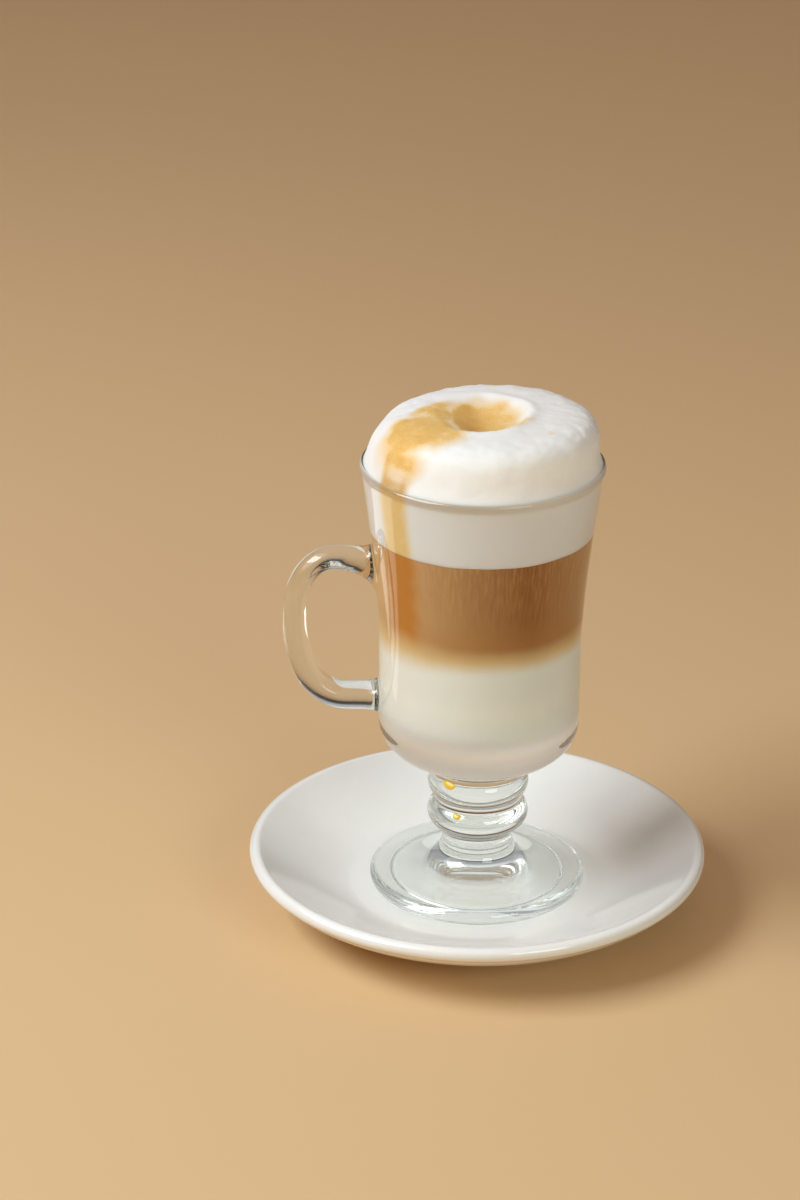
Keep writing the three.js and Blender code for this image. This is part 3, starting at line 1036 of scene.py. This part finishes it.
class Oval(NamedTuple):
    """A soft oval seen from above, in millimetres and degrees, with its strength."""

    centre: tuple
    radii: tuple
    turned_by: float
    softness: float
    strength: float

    def cover(self, x, y):
        """Strength inside the oval, fading to 0 outside it."""
        across = x / MM - self.centre[0]
        along = y / MM - self.centre[1]
        cosine = cos(radians(self.turned_by))
        sine = sin(radians(self.turned_by))
        out = hypot((across * cosine + along * sine) / self.radii[0],
                         (along * cosine - across * sine) / self.radii[1])
        return self.strength * (1 - smoothstep(1 - self.softness, 1 + self.softness, out))


# Coffee stains on top of the foam
PUDDLE = Oval((-20, -13.5), (11.4, 11.8), 0, 0.3, 0.86)
RIDGE = Oval((-14.5, -4), (3.2, 5.5), 0, 0.8, 0.12)
PALE_BACK = Oval((-0.8, 11.5), (6, 3), 0, 0.7, 0.4)
LEES_PLACES = ((3.6, 7.9), (-7.2, 9.4), (-12.5, -9.5), (6.6, 1.0), (-5, -7))
LEES = tuple(Oval(centre, (4.2, 3.0), 20, 0.9, 0.28) for centre in LEES_PLACES)
STAINS = (
    Oval((-13, -19.5), (7.4, 7.0), 0, 0.45, 0.78),
    Oval((-13.5, -1.5), (5, 8.5), 0, 0.5, 0.84),
    Oval((-16, 3), (9, 2.9), 40, 0.6, 0.8),
    Oval((11.8, -11.2), (5, 1.6), 54, 0.8, 0.62),
    Oval((-14, -26.6), (3.6, 1.1), 0, 0.7, 0.22),
    Oval((20.1, -17.4), (0.9, 0.9), 0, 0.7, 0.3),
)

# Steps and laps of the foam
FOAM_LAP = 0.35 * MM
FOAM_SIDE_STEPS = 26
DOME_STEPS = 156
DOME_STEP_POWER = 1.8
SIDE_STAIN = 0.78
BOTTOM_INSET = 0.93


class FoamDome:
    """The foam above the rim, by the angle about the axis and the climb from rim to top."""

    def __init__(self, glass, drink):
        self.drink = drink
        self.foot = glass.rim_height + 0.6 * glass.lip
        self.rise = drink.dome_level - self.foot

    def crater(self, x, y):
        """Depth of the crater and height of its lip at a place seen from above."""
        drink = self.drink
        across = (x - drink.crater_x) / drink.crater_across
        back = (y - drink.crater_y) / drink.crater_along
        side = atan2(back, across)
        rim = 1 + 0.02 * sin(3 * side + 0.6) + 0.015 * sin(5 * side)
        share_out = hypot(across, back) / rim
        backness = smoothstep(-0.1, 0.9, sin(side))
        leftness = smoothstep(0.1, 0.95, -cos(side))
        steepness = lerp(lerp(2.4, 1.35, backness), 1.15, leftness)
        depth = drink.crater_depth * max(0.0, 1 - share_out ** steepness)
        depth *= 1 - drink.crater_shoal * smoothstep(4 * MM, -13 * MM, x)
        lip = drink.lip_rise * (1 - 0.6 * backness) * (1 - 0.9 * leftness) * bell(share_out - 1.05, 0.13)
        return depth, lip

    def place(self, around, climb):
        """A point of the dome."""
        drink = self.drink
        power = drink.dome_power + drink.dome_right * cos(around) + drink.dome_back * sin(around)
        power += drink.dome_front * max(0.0, -sin(around))
        up = sin(climb) ** (2 / power)
        radius = drink.dome_radius * max(0.0, cos(climb)) ** (2 / power)
        radius += drink.dome_flare * exp(-up / 0.26)
        lean = drink.dome_lean * smoothstep(0.0, 0.8, up)
        x = radius * cos(around) + lean
        y = radius * sin(around)
        settled = smoothstep(0.0, 0.35, up)
        depth, lip = self.crater(x, y)
        z = self.foot + self.rise * up + (lip - depth) * settled
        here = Vector((x, y, z))
        swell = noise.noise(here / (7 * MM)) * 0.28 * MM + noise.noise(here / (2.2 * MM)) * 0.07 * MM
        swell += noise.noise(here / (2.8 * MM)) * 0.28 * MM * bell(up - 0.9, 0.08)
        z += swell * settled
        outward = smoothstep(0.02, 0.2, up) * (1 - smoothstep(0.75, 0.98, up))
        x += swell * outward * cos(around)
        y += swell * outward * sin(around)
        return x, y, min(z, drink.dome_top)

    def stain(self, x, y, z):
        """Strength of the coffee stain at a point, from 0 to 1."""
        here = Vector((x, y, 0)) / (4.5 * MM)
        x += 1.3 * MM * noise.noise(here + Vector((7, 0, 0)))
        y += 1.3 * MM * noise.noise(here + Vector((0, 9, 0)))
        depth, _ = self.crater(x, y)
        pool = smoothstep(0.02, 0.3, depth / self.drink.crater_depth)
        pool *= lerp(0.64, 1.0, smoothstep(9 * MM, -6 * MM, x + 0.45 * y))
        pool *= 1 - 0.75 * smoothstep(8.5 * MM, 13.5 * MM, x + 0.25 * y)
        pool *= 1 - PALE_BACK.cover(x, y)
        pool *= 1 + sum(oval.cover(x, y) for oval in LEES)
        ridge = 1 - RIDGE.cover(x, y)
        patches = [oval.cover(x, y) for oval in STAINS]
        return max(pool * ridge, PUDDLE.cover(x, y) * ridge, self.spill(x, y, z), *patches)

    def spill(self, x, y, z):
        """The broad run of coffee down the foam's side, narrower and paler towards the rim."""
        offset = turn_between(self.drink.spill_angle, atan2(y, x))
        down = smoothstep(self.foot + 9 * MM, self.foot + 1 * MM, z)
        half = lerp(0.29, 0.165, down)
        edge = 1 - smoothstep(0.5, 1.3, abs(offset) / half)
        pale = bell(offset / half - 0.1, 0.55) * smoothstep(0.05, 0.4, down)
        pale *= 1 - 0.7 * smoothstep(0.75, 1.0, down)
        return edge * (0.8 - 0.36 * pale) * smoothstep(self.foot + 15 * MM, self.foot + 10 * MM, z)

    def sample(self, around, climb):
        """A point of the dome and its stain."""
        point = self.place(around, climb)
        return point, self.stain(*point)


def foam_side(glass, drink, around, amount):
    """A point of the foam's side within the glass, from its foot to the rim, and its stain."""
    waver = 0.3 * MM * noise.noise(Vector((cos(around), sin(around), 4.0)) * 3.5)
    foot = drink.coffee_top - FOAM_LAP
    height = lerp(foot + waver, glass.rim_height - 0.8 * glass.lip, amount)
    radius = inner_radius(glass, height) + drink.embed + 0.06 * MM * (1 - amount)
    swerve = smoothstep(glass.rim_height - 5 * MM, glass.rim_height, height)
    offset = turn_between(lerp(drink.stream_angle, drink.spill_angle, swerve), around)
    stain = SIDE_STAIN * (1 - smoothstep(0.6, 1.4, abs(offset) * radius / drink.stream_width))
    return (radius * cos(around), radius * sin(around), height), stain


def foam_piece(glass, drink, base):
    """The foam: a side within the glass, a dome above the rim and a flat bottom on the coffee."""
    dome = FoamDome(glass, drink)
    turns = [tau * column / FOAM_AROUND for column in range(FOAM_AROUND)]
    rings = [[foam_side(glass, drink, around, step / FOAM_SIDE_STEPS) for around in turns]
             for step in range(FOAM_SIDE_STEPS)]
    for step in range(DOME_STEPS):
        climb = pi / 2 * (step / DOME_STEPS) ** DOME_STEP_POWER
        rings.append([dome.sample(around, climb) for around in turns])
    shell = Shell()
    loops = []
    stains = []
    for ring in rings:
        loops.append(shell.loop([(x, y, z + base) for (x, y, z), _ in ring]))
        stains.extend(stain for _, stain in ring)
    for lower, upper in zip(loops, loops[1:]):
        shell.join(lower, upper)
    (x, y, z), stain = dome.sample(0, pi / 2)
    shell.cap(loops[-1], (x, y, z + base))
    stains.append(stain)
    bottom = [shell.points[index] for index in loops[0]]
    inset = shell.loop([(BOTTOM_INSET * x, BOTTOM_INSET * y, z) for x, y, z in bottom])
    shell.join(loops[0], inset)
    shell.cap(inset, (0, 0, drink.coffee_top - FOAM_LAP + base))
    stains.extend([0.0] * (FOAM_AROUND + 1))
    piece = shell.build("milk_foam_dome")
    attribute = piece.data.attributes.new("stain", "FLOAT", "POINT")
    attribute.data.foreach_set("value", stains)
    return piece


class Drip(NamedTuple):
    """A drip on a ring of the stem: its angle about the axis and its tilt in degrees, and its size."""

    around: float
    tilt: float
    width: float
    height: float


UPPER_DRIP = Drip(around=-128, tilt=32, width=4.6 * MM, height=2.7 * MM)
LOWER_DRIP = Drip(around=-118, tilt=44, width=2.8 * MM, height=2.2 * MM)
DRIP_BULGE = 0.5 * MM
DRIP_RINGS = 8
DRIP_AROUND = 24


def drop(shell, drip, centre, outward):
    """Adds a flat round drop that clings to a surface."""
    side = outward.cross(Vector((0, 0, 1))).normalized()
    up = side.cross(outward)
    loops = []
    for step in range(DRIP_RINGS):
        out = 1 - step / DRIP_RINGS
        raised = DRIP_BULGE * (sqrt(max(0.0, 1 - out * out)) - 0.25)
        points = []
        for column in range(DRIP_AROUND):
            turned_by = tau * column / DRIP_AROUND
            wobble = 1 + 0.08 * sin(2 * turned_by + 0.7) + 0.05 * sin(3 * turned_by)
            across = drip.width / 2 * out * wobble * cos(turned_by)
            along = drip.height / 2 * out * wobble * sin(turned_by)
            points.append(tuple(centre + side * across + up * along + outward * raised))
        loops.append(shell.loop(points))
    for lower, upper in zip(loops, loops[1:]):
        shell.join(lower, upper)
    shell.cap(loops[-1], tuple(centre + outward * DRIP_BULGE * 0.75))
    shell.cap(loops[0], tuple(centre - outward * DRIP_BULGE * 0.5))


# Operators

class CAPPUCCINO_OT_saucer(bpy.types.Operator):
    """Adds the white saucer"""

    bl_idname = "cappuccino.saucer"
    bl_label = "Saucer"
    bl_options = {"REGISTER", "UNDO"}

    def execute(self, context):
        settings = context.scene.cappuccino
        piece = turned("saucer_dish", saucer_profile(settings.saucer), SAUCER_AROUND)
        settle(piece, "porcelain", porcelain_finish(settings.finishes), "saucer")
        return {"FINISHED"}


class CAPPUCCINO_OT_glass(bpy.types.Operator):
    """Adds the footed glass mug with its handle"""

    bl_idname = "cappuccino.glass"
    bl_label = "Glass mug"
    bl_options = {"REGISTER", "UNDO"}

    def execute(self, context):
        settings = context.scene.cappuccino
        shell = glass_shell(settings.glass, settings.handle)
        base = settings.glass.base
        shell.points = [(x, y, z + base) for x, y, z in shell.points]
        piece = shell.build("footed_glass_mug")
        settle(piece, "clear_glass", glass_finish(settings.finishes), "glass_mug")
        return {"FINISHED"}


class CAPPUCCINO_OT_layers(bpy.types.Operator):
    """Adds the milk and the coffee that fill the glass"""

    bl_idname = "cappuccino.layers"
    bl_label = "Milk and coffee"
    bl_options = {"REGISTER", "UNDO"}

    def execute(self, context):
        settings = context.scene.cappuccino
        glass, drink, base = settings.glass, settings.drink, settings.glass.base
        for name, node, profile in (("warm_milk", "milk", milk_profile(glass, drink)),
                                    ("milky_coffee", "coffee", coffee_profile(glass, drink))):
            piece = turned(name, lift(profile, base))
            settle(piece, node, drink_finish(name, drink, settings.finishes, base), node)
        return {"FINISHED"}


class CAPPUCCINO_OT_foam(bpy.types.Operator):
    """Adds the domed milk foam with its crater and coffee stain"""

    bl_idname = "cappuccino.foam"
    bl_label = "Milk foam"
    bl_options = {"REGISTER", "UNDO"}

    def execute(self, context):
        settings = context.scene.cappuccino
        piece = foam_piece(settings.glass, settings.drink, settings.glass.base)
        settle(piece, "foam", foam_finish(settings.glass, settings.finishes, settings.glass.base), "foam")
        return {"FINISHED"}


class CAPPUCCINO_OT_drips(bpy.types.Operator):
    """Adds the small amber drops on the rings of the stem"""

    bl_idname = "cappuccino.drips"
    bl_label = "Amber drops"
    bl_options = {"REGISTER", "UNDO"}

    def execute(self, context):
        settings = context.scene.cappuccino
        glass = settings.glass
        shell = Shell()
        for drip, height, bead in ((UPPER_DRIP, glass.upper_ring, glass.upper_bead),
                                   (LOWER_DRIP, glass.lower_ring, glass.lower_bead)):
            outward = direction(drip.around, drip.tilt)
            centre = direction(drip.around, 0) * (glass.ring_radius - bead) + outward * bead
            centre.z += glass.base + height
            drop(shell, drip, centre, outward)
        settle(shell.build("amber_stem_spots"), "coffee", drip_finish(settings.finishes))
        return {"FINISHED"}


class Lamp(NamedTuple):
    """A soft rectangular lamp."""

    name: str
    width: float
    depth: float
    power: float
    tone: tuple


# Lamps, with their angle about the axis and their rise, or their place on the floor
KEY_LAMP = Lamp("key_light", width=0.9, depth=0.5, power=15.4, tone=(0.887, 0.966, 1.0))
KEY_TURN = -162.5
KEY_RISE = 45
FILL_LAMP = Lamp("fill_light", width=0.6, depth=0.5, power=4.9, tone=(0.86, 1.0, 0.94))
FILL_TURN = -60
FILL_RISE = 24
BOUNCE_LAMP = Lamp("bounce_light", width=1.4, depth=0.7, power=1.6, tone=(1.0, 0.72, 0.5))
BOUNCE_PLACE = (0.2, -0.5, 2 * MM)
EDGE_LAMP = Lamp("edge_light", width=0.08, depth=0.16, power=0.045, tone=(1.0, 0.98, 0.95))
EDGE_PLACE = (-0.22, 0.12, 2 * MM)
FACING_UP = (pi, 0, 0)
LIGHT_MIDDLE = 0.08
LIGHT_DISTANCE = 1.3

# Light of the room, with the axis and the range over which each tone of it comes in
OVERHEAD_LIGHT = (0.45, 0.29, 0.20)
ROOM_BACK = (0.03, 0.025, 0.02)
ROOM_TONES = (("Y", 0.3, -0.6, (0.14, 0.12, 0.1)), ("Z", 0.14, 0.3, (0.36, 0.37, 0.38)),
              ("Z", 0.5, 0.7, (0.8, 0.83, 0.86)))
KEY_GLARE = (3.0, 3.1, 3.2)

# Floor, camera and light paths
FLOOR_DEPTH = 20 * MM
FLOOR_RADIUS = 12
FLOOR_RINGS = (6, 2, 0.6)
SENSOR_HEIGHT = 36
BOUNCES = 24
DIFFUSE_BOUNCES = 16


def add_lamp(lamp, location, rotation):
    """Adds a lamp that doesn't show through the glass."""
    light = bpy.data.lights.new(lamp.name, "AREA")
    light.shape = "RECTANGLE"
    light.size = lamp.width
    light.size_y = lamp.depth
    light.energy = lamp.power
    light.color = lamp.tone
    piece = bpy.data.objects.new(lamp.name, light)
    piece.location = location
    piece.rotation_euler = rotation
    piece.visible_transmission = False
    bpy.context.scene.collection.objects.link(piece)
    return piece


def hang_lamp(lamp, degrees, rise):
    """Adds a lamp that faces the middle of the glass, by its angle about the axis and its rise."""
    towards = direction(degrees, rise)
    location = Vector((0, 0, LIGHT_MIDDLE)) + towards * LIGHT_DISTANCE
    return add_lamp(lamp, location, towards.to_track_quat("Z", "Y").to_euler())


class CAPPUCCINO_OT_stage(bpy.types.Operator):
    """Adds the floor, the lights and the camera"""

    bl_idname = "cappuccino.stage"
    bl_label = "Stage"
    bl_options = {"REGISTER", "UNDO"}

    def execute(self, context):
        settings = context.scene.cappuccino
        top = [(radius, 0) for radius in (FLOOR_RADIUS, *FLOOR_RINGS, 0)]
        floor = turned("floor", [(0, -FLOOR_DEPTH), (FLOOR_RADIUS, -FLOOR_DEPTH), *top], FLOOR_AROUND)
        floor.data.materials.append(floor_finish(settings.finishes))
        hang_lamp(KEY_LAMP, KEY_TURN, KEY_RISE)
        hang_lamp(FILL_LAMP, FILL_TURN, FILL_RISE)
        bounce = add_lamp(BOUNCE_LAMP, BOUNCE_PLACE, FACING_UP)
        bounce.visible_camera = False
        bounce.visible_glossy = False
        edge = add_lamp(EDGE_LAMP, EDGE_PLACE, FACING_UP)
        edge.visible_camera = False
        edge.visible_diffuse = False
        edge.visible_transmission = True
        self.world(context.scene)
        self.light_paths(context.scene)
        self.camera(context.scene, settings.stage)
        return {"FINISHED"}

    def world(self, scene):
        """Warm dim light from above, and the room that shows in glass and gloss."""
        world = bpy.data.worlds.new("studio")
        world.use_nodes = True
        tree = world.node_tree
        towards = put(tree, "ShaderNodeTexCoord").outputs["Generated"]
        parts = split(tree, towards)
        overhead = fade(tree, parts["Z"], 0.35, 0.95)
        ambient = tint(tree, overhead, DARK, OVERHEAD_LIGHT)
        room = ROOM_BACK
        for axis, start, end, tone in ROOM_TONES:
            room = tint(tree, fade(tree, parts[axis], start, end), room, tone)
        facing = put(tree, "ShaderNodeVectorMath", {0: towards, 1: direction(KEY_TURN, KEY_RISE)},
                     operation="DOT_PRODUCT").outputs["Value"]
        room = tint(tree, fade(tree, facing, 0.86, 0.94), room, KEY_GLARE)
        diffuse_depth = put(tree, "ShaderNodeLightPath").outputs["Diffuse Depth"]
        seen = calculate(tree, "LESS_THAN", diffuse_depth, 0.5)
        tree.links.new(tint(tree, seen, ambient, room), tree.nodes["Background"].inputs["Color"])
        world.cycles.sampling_method = "NONE"
        scene.world = world

    def light_paths(self, scene):
        """Enough bounces for thick glass with a drink in it."""
        scene.cycles.use_denoising = True
        scene.cycles.caustics_reflective = False
        scene.cycles.caustics_refractive = True
        scene.cycles.blur_glossy = 0.0
        scene.cycles.max_bounces = BOUNCES
        scene.cycles.diffuse_bounces = DIFFUSE_BOUNCES
        scene.cycles.glossy_bounces = BOUNCES
        scene.cycles.transmission_bounces = BOUNCES
        scene.cycles.transparent_max_bounces = BOUNCES
        scene.view_settings.view_transform = "Standard"

    def camera(self, scene, stage):
        """Camera at the viewing angle, for an upright picture."""
        data = bpy.data.cameras.new("camera")
        data.sensor_fit = "VERTICAL"
        data.sensor_height = SENSOR_HEIGHT
        data.lens = SENSOR_HEIGHT * stage.focal
        camera = bpy.data.objects.new("camera", data)
        forward = Vector((0, cos(stage.pitch), -sin(stage.pitch)))
        level = Vector((1, 0, 0))
        up = level.cross(forward)
        right = level * cos(stage.roll) + up * sin(stage.roll)
        top = right.cross(forward)
        facing = Matrix((right, top, -forward)).transposed().to_4x4()
        camera.matrix_world = Matrix.Translation(stage.camera) @ facing
        scene.collection.objects.link(camera)
        scene.camera = camera


class CAPPUCCINO_PT_panel(bpy.types.Panel):
    """Lists the pieces of the cappuccino"""

    bl_idname = "CAPPUCCINO_PT_panel"
    bl_label = "Glass of Cappuccino"
    bl_space_type = "VIEW_3D"
    bl_region_type = "UI"
    bl_category = "Cappuccino"

    def draw(self, context):
        for operator in OPERATORS:
            self.layout.operator(operator.bl_idname)
        settings = context.scene.cappuccino
        for group in ("saucer", "glass", "handle", "drink", "finishes", "stage"):
            box = self.layout.box()
            box.label(text=group.capitalize())
            sizes = getattr(settings, group)
            for key in sizes.__annotations__:
                box.prop(sizes, key)


OPERATORS = (CAPPUCCINO_OT_saucer, CAPPUCCINO_OT_glass, CAPPUCCINO_OT_layers, CAPPUCCINO_OT_foam,
             CAPPUCCINO_OT_drips, CAPPUCCINO_OT_stage)
CLASSES = (SaucerSizes, GlassSizes, HandleSizes, DrinkSizes, Finishes, StageSizes, CappuccinoSettings,
           *OPERATORS, CAPPUCCINO_PT_panel)


def register():
    for entry in CLASSES:
        bpy.utils.register_class(entry)
    bpy.types.Scene.cappuccino = PointerProperty(type=CappuccinoSettings)


def unregister():
    del bpy.types.Scene.cappuccino
    for entry in reversed(CLASSES):
        bpy.utils.unregister_class(entry)


def main():
    """Registers the add-on and builds every piece."""
    register()
    bpy.ops.cappuccino.saucer()
    bpy.ops.cappuccino.glass()
    bpy.ops.cappuccino.layers()
    bpy.ops.cappuccino.foam()
    bpy.ops.cappuccino.drips()
    bpy.ops.cappuccino.stage()


if __name__ == "__main__":
    main()
